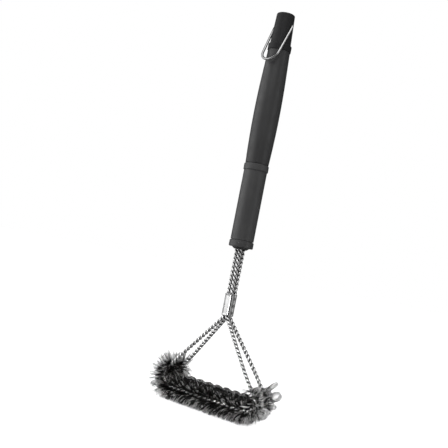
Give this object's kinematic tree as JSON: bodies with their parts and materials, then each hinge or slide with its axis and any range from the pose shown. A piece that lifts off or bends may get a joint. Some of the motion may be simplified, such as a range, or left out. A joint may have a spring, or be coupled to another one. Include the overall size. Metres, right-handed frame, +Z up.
{
  "type": "grill cleaning brush",
  "caption": "Long-handled cleaning brush: moulded grip with a swinging hanging loop, twisted-wire shaft and legs, and a wide head of wire bristles on bars.",
  "frame": {"origin": "bottom centre of the brush head, where the bristles would stand on a surface", "axes": "+Z up along the handle, X along the two bristled bars, -Y the front, where the hanging loop lies"},
  "size_m": [0.1638, 0.0506, 0.454],
  "materials": {
    "grip_plastic": "fine matte texture",
    "inner_plastic": "plain moulded",
    "stem_steel": "bright drawn wire",
    "clamp_steel": "polished sheet",
    "loop_steel": "bright drawn wire",
    "bristle_steel": "dark fine wire with bright tips"
  },
  "bodies": {
    "brush": {"hanger_end": "grip_plastic", "upper_grip": "grip_plastic", "middle_collar": "grip_plastic", "lower_grip": "grip_plastic", "bottom_collar": "grip_plastic", "grip_joiner": "inner_plastic", "stem_plug": "inner_plastic", "anchor_pin": "stem_steel", "stem_clamp": "clamp_steel", "front_stem_wire_a": "stem_steel", "front_stem_wire_b": "stem_steel", "back_stem_wire_a": "stem_steel", "back_stem_wire_b": "stem_steel", "front_bristles_bar": "bristle_steel", "front_bristles_left_end": "bristle_steel", "front_bristles_right_end": "bristle_steel", "back_bristles_bar": "bristle_steel", "back_bristles_left_end": "bristle_steel", "back_bristles_right_end": "bristle_steel"},
    "loop": {"hanging_loop": "loop_steel"}
  },
  "joints": [
    {"name": "loop_swing", "type": "hinge", "parent": "brush", "child": "loop", "pos_m": [0, 0, 0.4403], "axis": [-1, 0, 0], "range_deg": [0, 315]}
  ]
}
